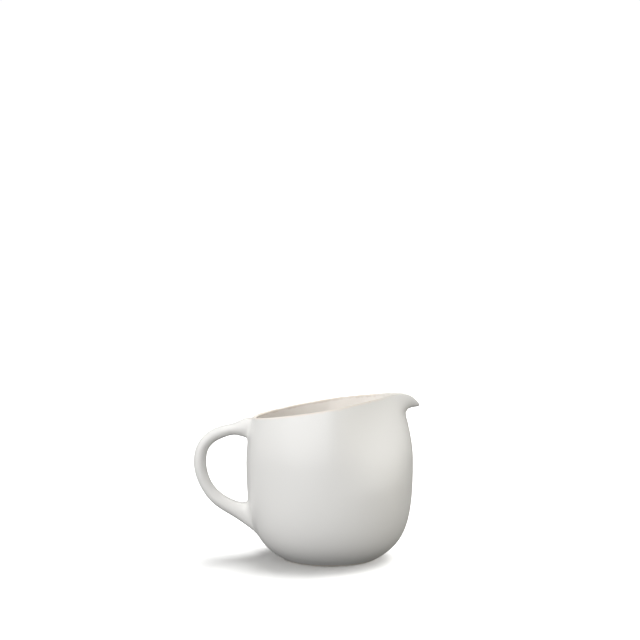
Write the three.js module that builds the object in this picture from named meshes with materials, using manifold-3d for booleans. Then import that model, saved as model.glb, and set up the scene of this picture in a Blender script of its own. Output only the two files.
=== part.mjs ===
// A glazed stoneware pitcher: a round-bellied vessel with a tilted rim, a drawn beak and a loop handle.
// Millimetres, +Z up. The origin is the middle of the foot on the table, the beak points along +X
// and the handle along -X.
import * as THREE from "three";
import { ParametricGeometry } from "three/addons/geometries/ParametricGeometry.js";
import { mergeVertices } from "three/addons/utils/BufferGeometryUtils.js";
import Module from "manifold-3d";

const wasm = await Module();
wasm.setup();

// Vessel outline
const footRadius = 28.5;
const bellyRadius = 50;
const bellyHeight = 58;
const neckRadius = 42;
const neckHeight = 98;
const footFlare = new THREE.Vector2(15.7, 8.8);
const bellyPullDown = 40.5;
const bellyPullUp = 13;
const neckPull = new THREE.Vector2(4.2, -15);

// Rim and beak
const rimHeight = 91;
const rimSlope = 0.163;
const beakReach = 11.8;
const beakDepth = 13.4;
const beakDroop = 6.6;
const beakDroopDepth = 11;
const beakHalfAngle = THREE.MathUtils.degToRad(33);
const throatNarrowing = 0.52;
const throatStart = -2;
const throatEnd = 46;
const throatDepth = 52;

// Wall, glaze and the bare bands
const rimThickness = 2.2;
const wallThickness = 3.4;
const thickeningDepth = 30;
const glaze = 0.3;
const clearance = 0.35;
const bareRim = 0.9;
const bareFoot = 1.2;
const glazeStart = bareFoot + clearance;
const footEdge = 0.5;
const lipRound = 0.6;
const squareCut = 1;
const normalNudge = 0.02;

// Spout seam: the outline of the notch in the wall, seen along X
const seamHalfWidth = 15;
const seamBottom = 76;
const seamTop = 106;
const seamStart = 26;
const seamEnd = 62;
const slipThickness = 0.8;

// Handle: where its centre runs, half its thickness in the plane of the loop, and half its width
const handleStations = [
  { x: -42.6, z: 76.2, halfThickness: 6.6, halfWidth: 7.8 },
  { x: -50, z: 76.1, halfThickness: 5.4, halfWidth: 6.9 },
  { x: -57.5, z: 75.9, halfThickness: 3.5, halfWidth: 6.1 },
  { x: -65, z: 74.1, halfThickness: 3.6, halfWidth: 6 },
  { x: -71.6, z: 70.6, halfThickness: 3.6, halfWidth: 6 },
  { x: -76.2, z: 64.8, halfThickness: 3.6, halfWidth: 5.9 },
  { x: -77.7, z: 57, halfThickness: 3.7, halfWidth: 5.8 },
  { x: -76.6, z: 49, halfThickness: 3.6, halfWidth: 5.6 },
  { x: -73.3, z: 41.5, halfThickness: 3.5, halfWidth: 5.5 },
  { x: -68, z: 35, halfThickness: 3.8, halfWidth: 5.5 },
  { x: -60.6, z: 30.1, halfThickness: 4.1, halfWidth: 5.7 },
  { x: -52.5, z: 26.4, halfThickness: 5.2, halfWidth: 6.2 },
  { x: -45.5, z: 23.4, halfThickness: 7.2, halfWidth: 7.2 },
  { x: -38, z: 19.5, halfThickness: 8, halfWidth: 7.6 },
];

// Shares of the handle's length at which its two joints end and start
const upperJointEnd = 0.098;
const lowerJointStart = 0.845;
const jointGap = 0.004;

// Mesh fineness
const aroundWall = 56;
const beakCrowding = 0.6;
const aroundHandle = 12;
const handleSteps = 26;
const seamSegments = 14;
const halvings = 24;
const rimPasses = 12;
const mergeDistance = 1e-4;
const wallSteps = [
  0.018, 0.04, 0.09, 0.17, 0.27, 0.38, 0.47, 0.55, 0.61, 0.66, 0.71, 0.76, 0.81, 0.86, 0.9, 0.94, 0.97,
];

const bareClay = new THREE.MeshStandardMaterial({ color: 0xd9bfa3, roughness: 0.85, metalness: 0 });
const slip = new THREE.MeshStandardMaterial({ color: 0xcbb08f, roughness: 0.9, metalness: 0 });
const whiteGlaze = new THREE.MeshStandardMaterial({ color: 0xf1efea, roughness: 0.22, metalness: 0 });

const { smoothstep } = THREE.MathUtils;

// The outline is two cubic curves that meet, upright, at the belly. Radius is found from height
// by halving, because the curves rise all the way.
const belly = new THREE.Vector2(bellyRadius, bellyHeight);
const lowerOutline = new THREE.CubicBezierCurve(
  new THREE.Vector2(footRadius, 0),
  new THREE.Vector2(footRadius, 0).add(footFlare),
  new THREE.Vector2(bellyRadius, bellyHeight - bellyPullDown),
  belly,
);
const upperOutline = new THREE.CubicBezierCurve(
  belly,
  new THREE.Vector2(bellyRadius, bellyHeight + bellyPullUp),
  new THREE.Vector2(neckRadius, neckHeight).add(neckPull),
  new THREE.Vector2(neckRadius, neckHeight),
);

function outlineRadius(height) {
  const curve = height < bellyHeight ? lowerOutline : upperOutline;
  const point = new THREE.Vector2();
  let low = 0;
  let high = 1;
  for (let step = 0; step < halvings; step += 1) {
    const middle = (low + high) / 2;
    curve.getPoint(middle, point);
    if (point.y < height) low = middle;
    else high = middle;
  }
  return point.x;
}

// Height at which the tilted rim plane cuts the outline, at an angle round from the beak.
function rimHeightAt(angle) {
  let height = rimHeight;
  for (let step = 0; step < rimPasses; step += 1) {
    height = rimHeight + rimSlope * outlineRadius(height) * Math.cos(angle);
  }
  return height;
}

// Outer surface after the beak is drawn out: the wall narrows to a throat, then the lip is
// pulled forward and its tip bends down.
function outerPoint(angle, height) {
  const radius = outlineRadius(height);
  const below = rimHeightAt(angle) - height;
  const x = radius * Math.cos(angle);
  const y = radius * Math.sin(angle);
  const turn = Math.abs(Math.atan2(Math.sin(angle), Math.cos(angle)));
  const beak = 1 - smoothstep(turn, 0, beakHalfAngle);
  const throat = smoothstep(x, throatStart, throatEnd) * (1 - smoothstep(below, 0, throatDepth));
  return new THREE.Vector3(
    x + beakReach * beak * (1 - smoothstep(below, 0, beakDepth)),
    y * (1 - throatNarrowing * throat),
    height - beakDroop * beak ** 3 * (1 - smoothstep(below, 0, beakDroopDepth)),
  );
}

// A point inside the wall, at a depth measured square to the outer surface.
function wallPoint(angle, height, depth) {
  const point = outerPoint(angle, height);
  const along = outerPoint(angle + normalNudge, height).sub(outerPoint(angle - normalNudge, height));
  const up = outerPoint(angle, height + normalNudge).sub(outerPoint(angle, height - normalNudge));
  const outward = along.cross(up).normalize();
  return point.addScaledVector(outward, -depth);
}

function thicknessAt(angle, height) {
  const below = rimHeightAt(angle) - height;
  return rimThickness + (wallThickness - rimThickness) * smoothstep(below, 0, thickeningDepth);
}

// Ways to place one ring of a shell: on the axis, on a flat disc, in the wall from its outer or its
// inner face, and at a depth below the rim.
const onAxis = (z) => () => new THREE.Vector3(0, 0, z);
const onDisc = (radius, z) => (angle) =>
  new THREE.Vector3(radius * Math.cos(angle), radius * Math.sin(angle), z);
const onWall = (rise, depth) => (angle) => wallPoint(angle, rise * rimHeightAt(angle), depth);
const onInside = (rise, cover) => (angle) => {
  const height = rise * rimHeightAt(angle);
  return wallPoint(angle, height, thicknessAt(angle, height) - cover);
};
const nearRim = (below, depth) => (angle) => wallPoint(angle, rimHeightAt(angle) - below, depth);
const nearRimInside = (below, cover) => (angle) => {
  const height = rimHeightAt(angle) - below;
  return wallPoint(angle, height, thicknessAt(angle, height) - cover);
};

// A closed solid turned from a list of rings that starts and ends on the axis.
function turnedSolid(rings) {
  const last = rings.length - 1;
  const place = (u, v, target) => {
    const turn = u === 1 ? 0 : u * Math.PI * 2;
    target.copy(rings[Math.round(v * last)](turn - beakCrowding * Math.sin(turn)));
  };
  return toSolid(new ParametricGeometry(place, aroundWall, last));
}

function toSolid(geometry) {
  const bare = geometry.clone();
  bare.deleteAttribute("normal");
  bare.deleteAttribute("uv");
  const merged = mergeVertices(bare, mergeDistance);
  const mesh = new wasm.Mesh({
    numProp: 3,
    vertProperties: merged.attributes.position.array,
    triVerts: new Uint32Array(merged.index.array),
  });
  return new wasm.Manifold(mesh);
}

function toGeometry(solid) {
  const mesh = solid.getMesh();
  const geometry = new THREE.BufferGeometry();
  geometry.setAttribute("position", new THREE.BufferAttribute(mesh.vertProperties, 3));
  geometry.setIndex(new THREE.BufferAttribute(mesh.triVerts, 1));
  geometry.computeVertexNormals();
  return geometry;
}

const rises = (place, value) => wallSteps.map((rise) => place(rise, value));

// The whole vessel as one full body, its surface a given depth under the glaze. Its ends are cut
// square to the wall.
function vesselBlock(depth, start, belowRim) {
  return turnedSolid([
    onAxis(start),
    onWall(start / rimHeight, depth + squareCut),
    onWall(start / rimHeight, depth),
    ...rises(onWall, depth),
    nearRim(belowRim, depth),
    nearRim(belowRim, depth + squareCut),
    onAxis(rimHeight - belowRim),
  ]);
}

// The clay wall: bare lip, glazed flanks, thick floor and a flat dry foot.
function clayShell() {
  const under = glaze + clearance;
  const covered = bareRim + clearance;
  const rimEdge = lipRound / 2;
  const up = [
    onAxis(0),
    onDisc(footRadius - footEdge, 0),
    onWall(bareFoot / 2 / rimHeight, 0),
    onWall(bareFoot / rimHeight, 0),
    onWall(glazeStart / rimHeight, under),
    ...rises(onWall, under),
    nearRim(covered, under),
    nearRim(bareRim, 0),
    nearRim(rimEdge, 0),
    nearRim(0, lipRound),
  ];
  const down = [
    nearRimInside(0, lipRound),
    nearRimInside(rimEdge, 0),
    nearRimInside(bareRim, 0),
    nearRimInside(covered, under),
    ...rises(onInside, under).reverse(),
    onInside(0, under),
    onAxis(wallThickness - under),
  ];
  return turnedSolid([...up, ...down]);
}

function innerGlazeSkin() {
  const top = bareRim + clearance;
  return turnedSolid([
    onAxis(wallThickness - glaze),
    onInside(0, glaze),
    ...rises(onInside, glaze),
    nearRimInside(top, glaze),
    nearRimInside(top, 0),
    ...rises(onInside, 0).reverse(),
    onInside(0, 0),
    onAxis(wallThickness),
  ]);
}

// The notch that the beak is let into: a U cut through the front of the wall.
function notchBlock(growth) {
  const halfWidth = seamHalfWidth + growth;
  const outline = new THREE.Shape();
  outline.moveTo(-halfWidth, seamTop);
  outline.lineTo(-halfWidth, seamBottom + seamHalfWidth);
  outline.absarc(0, seamBottom + seamHalfWidth, halfWidth, Math.PI, Math.PI * 2, false);
  outline.lineTo(halfWidth, seamTop);
  const block = new THREE.ExtrudeGeometry(outline, {
    depth: seamEnd - seamStart,
    bevelEnabled: false,
    curveSegments: seamSegments,
  });
  block.applyMatrix4(new THREE.Matrix4().makeBasis(
    new THREE.Vector3(0, 1, 0),
    new THREE.Vector3(0, 0, 1),
    new THREE.Vector3(1, 0, 0),
  ));
  block.translate(seamStart, 0, 0);
  return toSolid(block);
}

// The handle is an oval section swept along a smooth curve through its stations.
const handlePath = new THREE.CatmullRomCurve3(
  handleStations.map(({ x, z }) => new THREE.Vector3(x, 0, z)),
);
const handleSection = new THREE.CatmullRomCurve3(
  handleStations.map(({ halfThickness, halfWidth }) => new THREE.Vector3(halfThickness, halfWidth, 0)),
);

function handleBlock(from, to, inset) {
  const rows = handleSteps + 2;
  const place = (u, v, target) => {
    const row = Math.round(v * rows);
    const share = THREE.MathUtils.clamp((row - 1) / handleSteps, 0, 1);
    const at = from + (to - from) * share;
    const capped = row === 0 || row === rows ? 0 : 1;
    const angle = u === 1 ? 0 : u * Math.PI * 2;
    const along = handlePath.getTangent(at);
    const outward = new THREE.Vector3(-along.z, 0, along.x);
    const section = handleSection.getPoint(at);
    handlePath.getPoint(at, target);
    target.addScaledVector(outward, capped * (section.x - inset) * Math.cos(angle));
    target.y -= capped * (section.y - inset) * Math.sin(angle);
  };
  return toSolid(new ParametricGeometry(place, aroundHandle, rows));
}

const clay = clayShell();
const glazeBed = vesselBlock(glaze, bareFoot / 2, bareRim / 2);
const handleUnderGlaze = glaze + clearance;

const solids = {
  vessel_body: clay.subtract(notchBlock(slipThickness + 2 * clearance)),
  pouring_spout: clay.intersect(notchBlock(0)),
  spout_joint: clay.intersect(notchBlock(slipThickness + clearance).subtract(notchBlock(clearance))),
  handle: handleBlock(upperJointEnd + jointGap, lowerJointStart - jointGap, handleUnderGlaze),
  upper_handle_joint: handleBlock(0, upperJointEnd, handleUnderGlaze).subtract(glazeBed),
  lower_handle_joint: handleBlock(lowerJointStart, 1, handleUnderGlaze).subtract(glazeBed),
  outer_glaze: vesselBlock(0, glazeStart, bareRim + clearance)
    .add(handleBlock(0, 1, 0))
    .subtract(glazeBed.add(handleBlock(0, 1, glaze))),
  inner_glaze: innerGlazeSkin(),
};
const materials = {
  vessel_body: bareClay,
  pouring_spout: bareClay,
  spout_joint: slip,
  handle: bareClay,
  upper_handle_joint: slip,
  lower_handle_joint: slip,
  outer_glaze: whiteGlaze,
  inner_glaze: whiteGlaze,
};

const pitcher = new THREE.Group();
for (const [name, solid] of Object.entries(solids)) {
  const mesh = new THREE.Mesh(toGeometry(solid), materials[name]);
  mesh.name = name;
  pitcher.add(mesh);
}

export default pitcher;
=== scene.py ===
import bisect
import math

import bmesh
import bpy
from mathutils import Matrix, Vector


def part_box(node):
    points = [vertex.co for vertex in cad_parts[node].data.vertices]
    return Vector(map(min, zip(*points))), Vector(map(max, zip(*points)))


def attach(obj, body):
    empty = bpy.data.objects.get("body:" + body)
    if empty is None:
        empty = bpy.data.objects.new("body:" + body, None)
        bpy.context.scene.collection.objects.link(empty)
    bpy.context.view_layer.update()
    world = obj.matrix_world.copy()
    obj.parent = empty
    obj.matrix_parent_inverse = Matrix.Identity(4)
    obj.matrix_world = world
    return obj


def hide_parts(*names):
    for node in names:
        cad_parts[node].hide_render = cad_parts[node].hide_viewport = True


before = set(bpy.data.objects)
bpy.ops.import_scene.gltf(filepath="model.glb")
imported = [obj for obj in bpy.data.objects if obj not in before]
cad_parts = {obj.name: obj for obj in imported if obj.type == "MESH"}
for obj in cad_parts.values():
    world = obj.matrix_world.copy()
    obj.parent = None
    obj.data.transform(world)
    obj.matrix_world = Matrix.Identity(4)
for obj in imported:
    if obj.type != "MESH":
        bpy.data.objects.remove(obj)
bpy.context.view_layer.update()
print("frame loaded")

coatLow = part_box("outer_glaze")[0]
handleBack = 81.4  # how far the back of the handle is behind the body's axis, in mm
mm = -coatLow.x / handleBack

# outline of the turned wall, in mm, as two cubic curves that meet at the belly
pot = {
    "foot": (28.5, 0.0),
    "footFlare": (44.2, 8.8),
    "bellyBelow": (50.0, 17.5),
    "belly": (50.0, 58.0),
    "bellyAbove": (50.0, 71.0),
    "neckBelow": (46.2, 83.0),
    "neck": (42.0, 98.0),
    "outlineSteps": 240,
    "columns": 48,
    "fineness": 2,  # subdivision levels
    "rimHeight": 91.0,
    "rimSlope": 0.163,
    "rimPasses": 12,
    "tiltFrom": 45.0,
    "rimThickness": 2.2,
    "wallThickness": 3.4,
    "thickensOver": 30.0,
    "coat": 0.3,
    "bareRim": 0.55,
    "bareFoot": 0.8,
    "lipRound": 0.9,
    "coatRound": 0.12,
    "roundSteps": 3,
    "roundedOver": math.radians(60),
    "smoothedUnder": math.radians(40),
    "footCorner": 0.3,  # the first ring above the flat of the foot
    "leastRingGap": 0.5,
    "flatBelow": 0.5,  # below this the foot's flat disc keeps its own radii
    "handleStrip": (11.0, 19.0),  # out to the first of these, faces at the back may stand off the wall
}
beak = {
    "reach": 11.8,
    "reachDepth": 13.4,
    "droop": 6.6,
    "droopDepth": 11.0,
    "halfAngle": math.radians(33),
    "narrowing": 0.52,
    "narrowFrom": -2.0,
    "narrowTo": 46.0,
    "narrowDepth": 52.0,
    "lipExtra": 0.7,
    "lipAngle": math.radians(16),
    "lipFades": (1.0, 9.0),
    "seamHalfWidth": 15.0,
    "seamBottom": 76.0,
    "seamWidth": 0.8,
    "cutFrom": 26.0,
    "cutTo": 62.0,
    "cutAbove": 22.0,
    "cutSides": 64,
    "cutMargin": 0.1,
    "washed": (24.0, 40.0),  # along X, where the bare lip turns from dry clay to washed with glaze
}


def easeBetween(value, low, high):
    share = min(max((value - low) / (high - low), 0.0), 1.0)
    return share * share * (3 - 2 * share)


def cubicPoint(a, b, c, d, t):
    s = 1 - t
    weights = (s * s * s, 3 * s * s * t, 3 * s * t * t, t * t * t)
    return tuple(sum(w * p[i] for w, p in zip(weights, (a, b, c, d))) for i in (0, 1))


def outlinePoints():
    count = pot["outlineSteps"]
    lower = [cubicPoint(pot["foot"], pot["footFlare"], pot["bellyBelow"], pot["belly"], i / count)
             for i in range(count)]
    upper = [cubicPoint(pot["belly"], pot["bellyAbove"], pot["neckBelow"], pot["neck"], i / count)
             for i in range(count + 1)]
    return lower + upper


outline = outlinePoints()
outlineHeights = [z for r, z in outline]


def radiusAt(height):
    i = min(max(bisect.bisect_right(outlineHeights, height), 1), len(outline) - 1)
    (r0, z0), (r1, z1) = outline[i - 1], outline[i]
    return r0 + (r1 - r0) * min(max((height - z0) / (z1 - z0), 0.0), 1.0)


def rimAt(angle):
    height = pot["rimHeight"]
    for again in range(pot["rimPasses"]):
        height = pot["rimHeight"] + pot["rimSlope"] * radiusAt(height) * math.cos(angle)
    return height


rimBack = rimAt(math.pi)
rimOfDegree = [rimAt(math.radians(d)) for d in range(0, 181)]  # the rim is even about the XZ plane


def rimNear(angle):
    d = math.degrees(abs(angle))
    i = min(int(d), 179)
    return rimOfDegree[i] + (rimOfDegree[i + 1] - rimOfDegree[i]) * (d - i)


def wallThicknessAt(below, co):
    thin, thick = pot["rimThickness"], pot["wallThickness"]
    lip = 1 - easeBetween(abs(math.atan2(co.y, co.x)), 0, beak["lipAngle"])
    extra = beak["lipExtra"] * lip * (1 - easeBetween(below, *beak["lipFades"]))
    return thin + extra + (thick - thin) * easeBetween(below, 0, pot["thickensOver"])


def clearSelection():
    if bpy.context.object and bpy.context.object.mode != "OBJECT":
        bpy.ops.object.mode_set(mode="OBJECT")
    bpy.ops.object.select_all(action="DESELECT")


def makeActive(piece):
    clearSelection()
    piece.select_set(True)
    bpy.context.view_layer.objects.active = piece


def applyModifier(piece, kind, **settings):
    makeActive(piece)
    modifier = piece.modifiers.new(kind.title(), kind)
    for key, value in settings.items():
        setattr(modifier, key, value)
    bpy.ops.object.modifier_apply(modifier=modifier.name)


def copyPiece(piece, name):
    makeActive(piece)
    bpy.ops.object.duplicate()
    twin = bpy.context.object
    twin.name = name
    twin.data.name = name
    return twin


def softenEdges(piece, width):
    applyModifier(piece, "BEVEL", width=width * mm, segments=pot["roundSteps"],
                  limit_method="ANGLE", angle_limit=pot["roundedOver"])


rowHeights = (2.6, 5.4, 9.4, 14.8, 22.8, 31.2, 38, 45, 52, 57.6, 63, 68.6, 75.6, 82.6)
floorRings = (28.2, 26.5, 22, 15, 8, 3)


def turnWall(name, start, top, withFloor):
    clearSelection()
    first = (radiusAt(start) if start else pot["foot"][0], start)
    bpy.ops.mesh.primitive_circle_add(vertices=pot["columns"], radius=first[0] * mm,
                                      location=(0, 0, first[1] * mm))
    piece = bpy.context.object
    piece.name = name
    piece.data.name = name
    bpy.ops.object.transform_apply(location=True, rotation=True, scale=True)
    bpy.ops.object.mode_set(mode="EDIT")
    bpy.ops.mesh.select_mode(type="VERT")
    bpy.ops.mesh.select_all(action="SELECT")
    heights = [pot["footCorner"]] if withFloor else []
    heights += [h for h in rowHeights if h > start + pot["leastRingGap"]] + [top]
    last = first
    for height in heights:
        radius = radiusAt(height)
        bpy.ops.mesh.extrude_region_move(
            TRANSFORM_OT_translate={"value": (0, 0, (height - last[1]) * mm)})
        grow = radius / last[0]
        bpy.ops.transform.resize(value=(grow, grow, 1), center_override=(0, 0, height * mm))
        last = (radius, height)
    if withFloor:
        closeFloor(piece, first[0])
    bpy.ops.mesh.select_all(action="SELECT")
    bpy.ops.mesh.normals_make_consistent(inside=False)
    bpy.ops.object.mode_set(mode="OBJECT")
    return piece


def closeFloor(piece, radius):
    bpy.ops.mesh.select_all(action="DESELECT")
    mesh = bmesh.from_edit_mesh(piece.data)
    for edge in mesh.edges:
        if all(vert.co.z < pot["footCorner"] / 2 * mm for vert in edge.verts):
            edge.select_set(True)
    bmesh.update_edit_mesh(piece.data)
    last = radius
    for ring in floorRings:
        bpy.ops.mesh.extrude_region_move()
        bpy.ops.transform.resize(value=(ring / last, ring / last, 1), center_override=(0, 0, 0))
        last = ring
    bpy.ops.mesh.merge(type="CENTER")


# one vertex of the turned wall, taken to where the tilted rim and the drawn beak put it
def formedPoint(co):
    x, y, z = (c / mm for c in co)
    angle = math.atan2(y, x)
    rim = rimNear(angle)
    z += easeBetween(z, pot["tiltFrom"], rimBack) * (rim - rimBack)
    radius = math.hypot(x, y)
    if z > pot["flatBelow"]:
        byHandle = 1 - easeBetween(abs(y), *pot["handleStrip"]) if x < 0 else 0.0
        radius = byHandle * radius + (1 - byHandle) * radiusAt(z)
    x, y = radius * math.cos(angle), radius * math.sin(angle)
    below = rim - z
    lip = 1 - easeBetween(abs(angle), 0, beak["halfAngle"])
    throat = easeBetween(x, beak["narrowFrom"], beak["narrowTo"]) * (
        1 - easeBetween(below, 0, beak["narrowDepth"]))
    x += beak["reach"] * lip * (1 - easeBetween(below, 0, beak["reachDepth"]))
    y *= 1 - beak["narrowing"] * throat
    z -= beak["droop"] * lip ** 3 * (1 - easeBetween(below, 0, beak["droopDepth"]))
    return Vector((x, y, z)) * mm, below


# the depth below the rim is kept on the mesh, for the glaze to thin out by
def formWall(piece):
    belows = []
    for vert in piece.data.vertices:
        vert.co, below = formedPoint(vert.co)
        belows.append(below)
    kept = piece.data.attributes.new("belowRim", "FLOAT", "POINT")
    kept.data.foreach_set("value", belows)
    piece.data.update()
    return belows


# moves each vertex into the wall, square to the surface
def sinkWall(piece, depths):
    normals = [vert.normal.copy() for vert in piece.data.vertices]
    for vert, normal, depth in zip(piece.data.vertices, normals, depths):
        vert.co -= normal * depth * mm
    piece.data.update()


handle = {
    # centre x and z, half thickness in the plane of the loop, half width across it, in mm
    "stations": (
        (-42.6, 77.4, 7.2, 7.8),
        (-50.0, 76.7, 5.9, 7.1),
        (-57.5, 75.9, 3.45, 6.1),
        (-65.0, 74.1, 3.6, 6.0),
        (-71.6, 70.6, 3.6, 6.0),
        (-76.2, 64.8, 3.6, 5.9),
        (-77.7, 57.0, 3.7, 5.8),
        (-76.6, 49.0, 3.6, 5.6),
        (-73.3, 41.5, 3.5, 5.5),
        (-68.0, 35.0, 3.8, 5.5),
        (-60.6, 30.1, 4.1, 5.7),
        (-52.5, 26.4, 5.2, 6.2),
        (-45.5, 23.4, 7.2, 7.2),
    ),
    "rings": 30,
    "from": 1.0,  # in stations: where the first and the last ring stand
    "to": 10.6,
    "swell": 1.1,  # an eight-sided cage shrinks by this when it is subdivided
    "corner": 0.76,  # 0.71 is a true oval, more is a fuller strap
    "upperRoot": (68.6, 82.6),
    "lowerRoot": (14.8, 31.2),
    "cell": 6.0,  # spacing of the wall's faces where the handle leaves it, both ways
    "rootHalfWidth": 6.0,
    "onWallWithin": 1.0,
    "lookAhead": 0.01,  # in stations, to find which way the handle runs
    "rootMiddles": ((-49.0, 0.0, 74.0), (-49.0, 0.0, 25.0)),
    "rootReach": (9.0, 15.0),  # softened fully within the first distance, not at all past the second
    "rootPasses": 7,
    "rootSmoothing": 0.5,
    "rimSpared": (0.8, 3.0),
}


def alongStations(at):
    points = handle["stations"]
    i = min(max(int(at), 1), len(points) - 3)
    t = at - i
    quad = points[i - 1:i + 3]
    return [0.5 * (2 * b + (c - a) * t + (2 * a - 5 * b + 4 * c - d) * t * t
                   + (3 * b - a - 3 * c + d) * t * t * t) for a, b, c, d in zip(*quad)]


def rootFaces(mesh, root):
    low, high = root
    found = []
    for face in mesh.faces:
        centre = face.calc_center_median() / mm
        onWall = math.hypot(centre.x, centre.y) < radiusAt(centre.z) + handle["onWallWithin"]
        inStrip = centre.x < 0 and abs(centre.y) < handle["rootHalfWidth"]
        if onWall and inStrip and low < centre.z < high:
            found.append(face)
    return found


def growHandle(piece):
    makeActive(piece)
    bpy.ops.object.mode_set(mode="EDIT")
    bpy.ops.mesh.select_mode(type="FACE")
    bpy.ops.mesh.select_all(action="DESELECT")
    mesh = bmesh.from_edit_mesh(piece.data)
    tip = rootFaces(mesh, handle["upperRoot"])
    for face in tip:
        face.select_set(True)
    corners = {}
    middle = sum(handle["upperRoot"]) / 2
    for vert in {v for face in tip for v in face.verts}:
        across = round(vert.co.y / mm / handle["cell"])
        over = round((vert.co.z / mm - middle) / handle["cell"])
        corners[(across, over)] = vert.co.copy()
    span = handle["to"] - handle["from"]
    for ring in range(handle["rings"]):
        at = handle["from"] + span * ring / (handle["rings"] - 1)
        x, z, halfThickness, halfWidth = alongStations(at)
        ahead = alongStations(at + handle["lookAhead"])
        along = Vector((ahead[0] - x, 0, ahead[1] - z)).normalized()
        outward = Vector((-along.z, 0, along.x)) * -1
        bpy.ops.mesh.extrude_region_move()
        mesh = bmesh.from_edit_mesh(piece.data)
        placed = {}
        for vert in [v for v in mesh.verts if v.select]:
            across, over = min(corners, key=lambda k: (corners[k] - vert.co).length)
            trim = handle["swell"] * (handle["corner"] if across and over else 1)
            vert.co = (Vector((x, 0, z)) + outward * over * halfThickness * trim
                       + Vector((0, across * halfWidth * trim, 0))) * mm
            placed[(across, over)] = vert.co.copy()
        corners = placed
        bmesh.update_edit_mesh(piece.data)
    joinLowerRoot(piece)
    bpy.ops.mesh.select_all(action="SELECT")
    bpy.ops.mesh.normals_make_consistent(inside=False)
    bpy.ops.object.mode_set(mode="OBJECT")


def joinLowerRoot(piece):
    mesh = bmesh.from_edit_mesh(piece.data)
    tipEdges = openEdges([f for f in mesh.faces if f.select])
    root = rootFaces(mesh, handle["lowerRoot"])
    rootEdges = openEdges(root)
    doomed = [f for f in mesh.faces if f.select] + root
    for edge in tipEdges + rootEdges:
        edge.tag = True
    bmesh.ops.delete(mesh, geom=doomed, context="FACES")
    bmesh.update_edit_mesh(piece.data)
    bpy.ops.mesh.select_all(action="DESELECT")
    bpy.ops.mesh.select_mode(type="EDGE")
    mesh = bmesh.from_edit_mesh(piece.data)
    for edge in mesh.edges:
        if edge.tag and edge.is_boundary:
            edge.select_set(True)
    bmesh.update_edit_mesh(piece.data)
    bpy.ops.mesh.bridge_edge_loops()


def openEdges(faces):
    inside = set(faces)
    edges = {e for f in faces for e in f.edges}
    return [e for e in edges if sum(f in inside for f in e.link_faces) == 1]


# rounds the corners where the handle runs into the wall, but leaves the rim as it is
def softenRoots(piece, belows):
    group = piece.vertex_groups.new(name="roots")
    near, far = handle["rootReach"]
    for vert, below in zip(piece.data.vertices, belows):
        away = min((vert.co / mm - Vector(middle)).length for middle in handle["rootMiddles"])
        share = (1 - easeBetween(away, near, far)) * easeBetween(below, *handle["rimSpared"])
        group.add([vert.index], share, "REPLACE")
    applyModifier(piece, "SMOOTH", factor=handle["rootSmoothing"],
                  iterations=handle["rootPasses"], vertex_group="roots")


levels = pot["fineness"]

outerCoat = turnWall("outerCoat", pot["bareFoot"], rimBack - pot["bareRim"], False)
growHandle(outerCoat)
applyModifier(outerCoat, "SUBSURF", levels=levels, render_levels=levels)
outerBelows = formWall(outerCoat)
softenRoots(outerCoat, outerBelows)
applyModifier(outerCoat, "SOLIDIFY", thickness=pot["coat"] * mm, offset=-1)
softenEdges(outerCoat, pot["coatRound"])
print("outer glaze coat: %d faces" % len(outerCoat.data.polygons))


clay = {
    "lap": 0.02,  # how far the clay reaches into the coats
    "footFrom": 0.3,
    "lipFrom": -0.3,  # from the coat's edge
    "lipTo": 0.5,
    "lipShare": 0.25,
}


# how far the clay lies under the glazed surface: the bare foot is flush with it, and the bare
# lip nearly so
def clayDepth(height, below):
    foot = easeBetween(height, clay["footFrom"], pot["bareFoot"])
    lip = easeBetween(below, pot["bareRim"] + clay["lipFrom"], pot["bareRim"] + clay["lipTo"])
    return (pot["coat"] - clay["lap"]) * foot * (clay["lipShare"] + (1 - clay["lipShare"]) * lip)


clayWall = turnWall("clayWall", 0, rimBack, True)
applyModifier(clayWall, "SUBSURF", levels=levels, render_levels=levels)
wallBelows = formWall(clayWall)
sinkWall(clayWall, [clayDepth(v.co.z / mm, b) for v, b in zip(clayWall.data.vertices, wallBelows)])
thick = pot["wallThickness"]
weights = clayWall.vertex_groups.new(name="wall")
for vert, below in zip(clayWall.data.vertices, wallBelows):
    outerDepth = clayDepth(vert.co.z / mm, below)
    innerDepth = clayDepth(pot["bareFoot"], below)
    left = wallThicknessAt(below, vert.co) - outerDepth - innerDepth
    weights.add([vert.index], left / thick, "REPLACE")
applyModifier(clayWall, "SOLIDIFY", thickness=thick * mm, offset=-1, use_even_offset=True,
              vertex_group="wall")
softenEdges(clayWall, pot["lipRound"])
print("clay wall: %d faces" % len(clayWall.data.polygons))


# a U-shaped block that reaches through the front of the wall, to let the beak in
def makeNotch(growth):
    halfWidth = beak["seamHalfWidth"] + growth
    middle = beak["seamBottom"] + beak["seamHalfWidth"]
    clearSelection()
    bpy.ops.mesh.primitive_cylinder_add(
        vertices=beak["cutSides"], radius=halfWidth * mm,
        depth=(beak["cutTo"] - beak["cutFrom"]) * mm,
        location=((beak["cutFrom"] + beak["cutTo"]) / 2 * mm, 0, middle * mm),
        rotation=(0, math.pi / 2, 0))
    block = bpy.context.object
    bpy.ops.object.transform_apply(location=True, rotation=True, scale=True)
    bpy.ops.object.mode_set(mode="EDIT")
    bpy.ops.mesh.select_mode(type="VERT")
    bpy.ops.mesh.select_all(action="DESELECT")
    mesh = bmesh.from_edit_mesh(block.data)
    for vert in mesh.verts:
        vert.select_set(vert.co.z > (middle + beak["cutMargin"]) * mm)
    mesh.select_flush(True)
    bmesh.update_edit_mesh(block.data)
    bpy.ops.transform.translate(value=(0, 0, beak["cutAbove"] * mm))
    bpy.ops.object.mode_set(mode="OBJECT")
    return block


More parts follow.
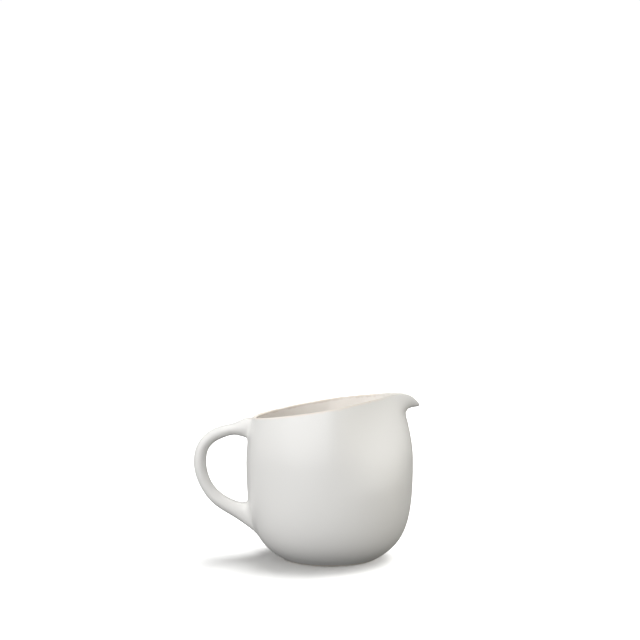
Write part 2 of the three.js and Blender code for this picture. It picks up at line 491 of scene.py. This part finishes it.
narrowNotch = makeNotch(0)
wideNotch = makeNotch(beak["seamWidth"])
spoutClay = copyPiece(clayWall, "spoutClay")
applyModifier(spoutClay, "BOOLEAN", operation="INTERSECT", object=narrowNotch)
spoutSlip = copyPiece(clayWall, "spoutSlip")
applyModifier(spoutSlip, "BOOLEAN", operation="INTERSECT", object=wideNotch)
applyModifier(spoutSlip, "BOOLEAN", operation="DIFFERENCE", object=narrowNotch)
vesselClay = clayWall
vesselClay.name = "vesselClay"
applyModifier(vesselClay, "BOOLEAN", operation="DIFFERENCE", object=wideNotch)
for block in (narrowNotch, wideNotch):
    bpy.data.objects.remove(block)
print("clay cut at the beak: %d, %d and %d faces" % tuple(
    len(p.data.polygons) for p in (vesselClay, spoutClay, spoutSlip)))

innerCoat = turnWall("innerCoat", 0, rimBack - pot["bareRim"], True)
applyModifier(innerCoat, "SUBSURF", levels=levels, render_levels=levels)
innerBelows = formWall(innerCoat)
sinkWall(innerCoat, [wallThicknessAt(b, v.co) - pot["coat"]
                     for v, b in zip(innerCoat.data.vertices, innerBelows)])
applyModifier(innerCoat, "SOLIDIFY", thickness=pot["coat"] * mm, offset=-1)
softenEdges(innerCoat, pot["coatRound"])
print("inner glaze coat: %d faces" % len(innerCoat.data.polygons))


def fromHex(code):
    values = [int(code[i:i + 2], 16) / 255 for i in (0, 2, 4)]
    return tuple(v / 12.92 if v <= 0.04045 else ((v + 0.055) / 1.055) ** 2.4 for v in values) + (1,)


def addNode(tree, kind, inputs=None, **settings):
    node = tree.nodes.new("ShaderNode" + kind)
    for key, value in settings.items():
        setattr(node, key, value)
    for key, value in (inputs or {}).items():
        if isinstance(value, bpy.types.NodeSocket):
            tree.links.new(value, node.inputs[key])
        else:
            node.inputs[key].default_value = value
    return node


def startMaterial(name, **sockets):
    material = bpy.data.materials.new(name)
    material.use_nodes = True
    shader = material.node_tree.nodes["Principled BSDF"]
    for key, value in sockets.items():
        shader.inputs[key.replace("_", " ")].default_value = value
    return material, material.node_tree, shader


# noise whose features are about size mm across
def mottle(tree, place, size, detail=2.0):
    return addNode(tree, "TexNoise", {"Vector": place, "Scale": 1 / (size * mm),
                                      "Detail": detail}).outputs["Fac"]


def spread(tree, value, low, high, toLow, toHigh):
    return addNode(tree, "MapRange", {"Value": value, "From Min": low, "From Max": high,
                                      "To Min": toLow, "To Max": toHigh},
                   interpolation_type="SMOOTHSTEP").outputs["Result"]


def blendColor(tree, share, low, high):
    return addNode(tree, "Mix", {0: share, 6: low, 7: high}, data_type="RGBA").outputs[2]


def times(tree, a, b):
    return addNode(tree, "Math", {0: a, 1: b}, operation="MULTIPLY").outputs[0]


# height is 0 to 1, and depth is what 1 stands for, in mm
def bumpOf(tree, height, depth, under=None):
    inputs = {"Height": height, "Distance": depth * mm, "Strength": 1.0}
    if under:
        inputs["Normal"] = under
    return addNode(tree, "Bump", inputs).outputs["Normal"]


noiseMiddle = (0.3, 0.7)  # the part of the noise's range that most of it falls in
glazeGrain = {
    # sizes and depths in mm
    "cloud": 40, "cloudRange": (0.2, 0.8),
    "waver": 3, "waverBy": 0.4,
    "thinFoot": 1.1, "footThinning": 0.5,
    "smear": 9, "rippleSize": 11, "peelSize": 1.5,
}


# Satin-gloss tin-white glaze: cloudy drift in its depth, a warm line where it thins to the bare
# rim and foot, and the faint orange peel that softens what it reflects.
# the inner look's darker, warmer colours and its brown thin colour are painted shade
def glazeMaterial(name, look):
    material, tree, shader = startMaterial(name, IOR=1.5)
    place = addNode(tree, "TexCoord").outputs["Object"]
    clouds = mottle(tree, place, glazeGrain["cloud"], 0)
    cloudy = spread(tree, clouds, *glazeGrain["cloudRange"], 0, 1)
    body = blendColor(tree, cloudy, fromHex(look["deep"]), fromHex(look["pale"]))
    below = addNode(tree, "Attribute", attribute_name="belowRim").outputs["Fac"]
    waver = spread(tree, mottle(tree, place, glazeGrain["waver"]), *noiseMiddle,
                   -glazeGrain["waverBy"], glazeGrain["waverBy"])
    wavering = addNode(tree, "Math", {0: below, 1: waver}, operation="ADD").outputs[0]
    # the band where the glaze thins at the rim; with the inner look's brown thin colour it is also
    # painted shade under the lip
    atRim = spread(tree, wavering, pot["bareRim"], look["thinOver"], look["thinning"], 0)
    split = addNode(tree, "SeparateXYZ", {0: place})
    footFrom = pot["bareFoot"] * mm
    atFoot = spread(tree, split.outputs["Z"], footFrom, footFrom + glazeGrain["thinFoot"] * mm,
                    glazeGrain["footThinning"], 0)
    beakFrom, beakTo = beak["washed"]
    awayFromBeak = spread(tree, split.outputs["X"], beakFrom * mm, beakTo * mm, 1, 0)
    thinned = addNode(tree, "Math", {0: times(tree, atRim, awayFromBeak), 1: atFoot},
                      operation="MAXIMUM").outputs[0]
    tree.links.new(blendColor(tree, thinned, body, fromHex(look["thin"])), shader.inputs["Base Color"])
    smear = mottle(tree, place, glazeGrain["smear"], 4)
    sheen = spread(tree, smear, *noiseMiddle, *look["rough"])
    tree.links.new(sheen, shader.inputs["Roughness"])
    rippled = bumpOf(tree, mottle(tree, place, glazeGrain["rippleSize"], 1), look["ripple"])
    peeled = bumpOf(tree, mottle(tree, place, glazeGrain["peelSize"], 1), look["peel"], rippled)
    tree.links.new(peeled, shader.inputs["Normal"])
    return material


clayGrain = {
    "patch": 12, "speck": 0.9, "speckRange": (0.7, 0.76), "sand": 0.35,
    "washedRough": 0.36, "wander": 8, "wanderBy": 0.8, "ringsUnder": (0.2, 0.7),
}


# Bare fired clay: matte, creamy, with sandy grain, a few darker grog specks, and the fine rings
# that turning leaves under the foot. Towards the beak a wash of glaze whitens and smooths it.
def clayMaterial(name, look):
    material, tree, shader = startMaterial(name, IOR=1.45)
    place = addNode(tree, "TexCoord").outputs["Object"]
    patches = spread(tree, mottle(tree, place, clayGrain["patch"], 3), *noiseMiddle, 0, 1)
    body = blendColor(tree, patches, fromHex(look["deep"]), fromHex(look["pale"]))
    speck = spread(tree, mottle(tree, place, clayGrain["speck"], 1), *clayGrain["speckRange"],
                   0, look["specks"])
    sandy = blendColor(tree, speck, body, fromHex(look["grog"]))
    split = addNode(tree, "SeparateXYZ", {0: place})
    beakFrom, beakTo = beak["washed"]
    washed = spread(tree, split.outputs["X"], beakFrom * mm, beakTo * mm, 0, 1)
    tinted = blendColor(tree, washed, sandy, fromHex(look["washed"]))
    tree.links.new(tinted, shader.inputs["Base Color"])
    sand = mottle(tree, place, clayGrain["sand"], 3)
    dry = spread(tree, sand, *noiseMiddle, *look["rough"])
    sheen = addNode(tree, "Mix", {0: washed, 2: dry, 3: clayGrain["washedRough"]}).outputs[0]
    tree.links.new(sheen, shader.inputs["Roughness"])
    flat = addNode(tree, "CombineXYZ", {"X": split.outputs["X"], "Y": split.outputs["Y"]}).outputs[0]
    reach = addNode(tree, "VectorMath", {0: flat}, operation="LENGTH").outputs["Value"]
    wander = times(tree, mottle(tree, place, clayGrain["wander"], 2), clayGrain["wanderBy"] * mm)
    turned = addNode(tree, "Math", {0: reach, 1: wander}, operation="ADD").outputs[0]
    wave = addNode(tree, "Math", {0: times(tree, turned, 2 * math.pi / (look["rings"] * mm))},
                   operation="SINE").outputs[0]
    ringsFull, ringsGone = clayGrain["ringsUnder"]
    underFoot = spread(tree, split.outputs["Z"], ringsFull * mm, ringsGone * mm, 1, 0)
    ringed = bumpOf(tree, times(tree, wave, underFoot), look["ringDepth"])
    tree.links.new(bumpOf(tree, sand, look["grain"], ringed), shader.inputs["Normal"])
    return material


# reads as soft, even white with broad, dim highlights
outerGlaze = glazeMaterial("satinWhiteGlaze", {
    "deep": "F1F0ED", "pale": "F4F3F0", "thin": "FAF1E7", "thinning": 0.4, "thinOver": 2.0,
    "rough": (0.31, 0.37), "ripple": 0.006, "peel": 0.002,
})
# painted shade: the same white glaze made a little darker and warmer inside the pot, and duller; the
# brown line inside the lip is part thinning glaze, part painted shade
innerGlaze = glazeMaterial("whiteGlazePaintedInnerShade", {
    "deep": "EFEAE4", "pale": "F3EFEA", "thin": "DDD4CB", "thinning": 0.7, "thinOver": 1.7,
    "rough": (0.33, 0.4), "ripple": 0.008, "peel": 0.002,
})
# reads as a dry cream line at the lip and foot
bareClay = clayMaterial("creamStonewareBiscuit", {
    "deep": "F4ECE2", "pale": "FBF6EF", "grog": "C9B399", "specks": 0.4, "washed": "F3F2EE",
    "rough": (0.72, 0.92), "grain": 0.02, "rings": 1.7, "ringDepth": 0.03,
})
# reads as a shade darker and drier than the clay it joins
firedSlip = clayMaterial("firedJoiningSlip", {
    "deep": "F3EAE0", "pale": "F9F3EB", "grog": "CDB79D", "specks": 0.3, "washed": "F3F2EE",
    "rough": (0.8, 0.95), "grain": 0.012, "rings": 1.7, "ringDepth": 0.0,
})

dressing = (
    (outerCoat, outerGlaze, "outer_glaze", "outer_glaze"),
    (innerCoat, innerGlaze, "inner_glaze", "inner_glaze"),
    (vesselClay, bareClay, "vessel_body", "body_clay"),
    (spoutClay, bareClay, "pouring_spout", "spout_clay"),
    (spoutSlip, firedSlip, "spout_joint", "slip"),
)
for piece, material, node, slot in dressing:
    makeActive(piece)
    bpy.ops.object.shade_smooth_by_angle(angle=pot["smoothedUnder"])
    piece.data.materials.clear()
    piece.data.materials.append(material)
    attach(piece, "root")
    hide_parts(node)
for node, material in (("handle", bareClay), ("upper_handle_joint", firedSlip),
                       ("lower_handle_joint", firedSlip)):
    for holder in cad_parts[node].material_slots:
        holder.material = material
print("materials on")


card = {
    "size": 60,  # in metres, to fill the view on every side
    "cloud": 70, "tooth": 0.6, "toothDepth": 0.02,  # in mm
    "whiteness": 1.5,
}


# A seamless sheet of matte card: faint cloudiness and a fine tooth, bright enough to read as a
# plain white ground.
def cardMaterial():
    material, tree, shader = startMaterial("matteWhiteCard", IOR=1.3)
    place = addNode(tree, "TexCoord").outputs["Object"]
    cloudy = spread(tree, mottle(tree, place, card["cloud"], 3), *noiseMiddle, 0, 1)
    white = blendColor(tree, cloudy, fromHex("F4F4F3"), fromHex("F7F7F6"))
    bright = addNode(tree, "VectorMath", {0: white, "Scale": card["whiteness"]},
                     operation="SCALE").outputs[0]
    toothed = bumpOf(tree, mottle(tree, place, card["tooth"], 2), card["toothDepth"])
    matte = addNode(tree, "BsdfDiffuse", {"Color": bright, "Normal": toothed})
    tree.links.new(matte.outputs[0], tree.nodes["Material Output"].inputs["Surface"])
    return material


clearSelection()
bpy.ops.mesh.primitive_plane_add(size=card["size"], location=(0, 0, 0))
floor = bpy.context.object
floor.name = "floor"
floor.data.materials.append(cardMaterial())
floor.visible_diffuse = False  # what it throws back at the pitcher comes from the sky's lower half
floor.visible_glossy = False
floor.visible_shadow = False

studio = {
    # light from each height of the surroundings: 0 is straight down, 0.5 level, 1 straight up
    "sky": ((0, 0.02), (0.25, 0.02), (0.42, 0.14), (0.482, 0.62), (0.486, 1.02), (0.65, 1.02),
            (0.71, 0.15)),
    "surround": 0.12,  # the grey that glancing reflections see, which draws the edges
    "surroundRadius": 0.3,
    "surroundHeight": 0.3,
    "surroundSides": 64,
    "cameraPlace": (-0.0057, -0.624, 0.14124),
    "lens": 58.5,
    "sensor": 36,
    "lamps": (
        # name, place it shines from, spread in degrees, strength, share of gloss, colour
        ("key", (0.24, 0.38, 1.0), 56, 1.75, 0.5, "FFFFFF"),
        ("frontFill", (-0.85, -1.1, 0.75), 70, 1.88, 0.6, "FFFFFF"),
        ("rightFill", (1.0, -0.12, 0.15), 50, 0.65, 1.0, "FFFAEA"),
        ("floorKey", (0.24, 0.38, 1.0), 50, 1.4, 0.0, "FFFFFF"),
        ("floorRight", (1.0, 0.25, 0.45), 60, 1.8, 0.0, "FFFFFF"),
    ),
}

# A plain grey glow all round, which only the glaze mirrors: it dims the edges of the pitcher.
clearSelection()
bpy.ops.mesh.primitive_cylinder_add(vertices=studio["surroundSides"],
                                    radius=studio["surroundRadius"],
                                    depth=studio["surroundHeight"], end_fill_type="NOTHING",
                                    location=(0, 0, studio["surroundHeight"] / 2))
surround = bpy.context.object
surround.name = "surround"
surround.visible_camera = False
surround.visible_diffuse = False
surround.visible_shadow = False
grey = bpy.data.materials.new("greySurround")
grey.use_nodes = True
grey.node_tree.nodes.clear()
glow = addNode(grey.node_tree, "Emission", {"Color": (1, 1, 1, 1), "Strength": studio["surround"]})
addNode(grey.node_tree, "OutputMaterial", {"Surface": glow.outputs[0]})
surround.data.materials.append(grey)

world = bpy.data.worlds.new("studio")
bpy.context.scene.world = world
world.use_nodes = True
tree = world.node_tree
way = addNode(tree, "SeparateXYZ", {0: addNode(tree, "TexCoord").outputs["Generated"]}).outputs["Z"]
rise = addNode(tree, "MapRange", {"Value": way, "From Min": -1, "From Max": 1}).outputs["Result"]
sky = addNode(tree, "ValToRGB", {"Fac": rise})
stops = sky.color_ramp.elements
while len(stops) < len(studio["sky"]):
    stops.new(0.5)
for stop, (at, light) in zip(stops, studio["sky"]):
    stop.position = at
    stop.color = (light, light, light, 1)
tree.links.new(sky.outputs["Color"], tree.nodes["Background"].inputs["Strength"])
tree.nodes["Background"].inputs["Color"].default_value = (1, 1, 1, 1)

pitcherOnly = bpy.data.collections.new("pitcherOnly")
for entry in dressing:
    pitcherOnly.objects.link(entry[0])
floorOnly = bpy.data.collections.new("floorOnly")
floorOnly.objects.link(floor)
lampTargets = {"frontFill": pitcherOnly, "rightFill": pitcherOnly,
               "floorKey": floorOnly, "floorRight": floorOnly}
for name, place, angle, strength, gloss, tint in studio["lamps"]:
    bpy.ops.object.light_add(type="SUN", location=place)
    lamp = bpy.context.object
    lamp.name = name
    lamp.data.angle = math.radians(angle)
    lamp.data.energy = strength
    lamp.data.specular_factor = gloss
    lamp.data.color = fromHex(tint)[:3]
    if name in lampTargets:
        lamp.light_linking.receiver_collection = lampTargets[name]
    lamp.rotation_euler = lamp.location.to_track_quat("Z", "Y").to_euler()

bpy.ops.object.camera_add(location=studio["cameraPlace"], rotation=(math.pi / 2, 0, 0))
camera = bpy.context.object
camera.data.lens = studio["lens"]
camera.data.sensor_width = studio["sensor"]
bpy.context.scene.camera = camera
bpy.context.scene.view_settings.view_transform = "Standard"
print("studio set")
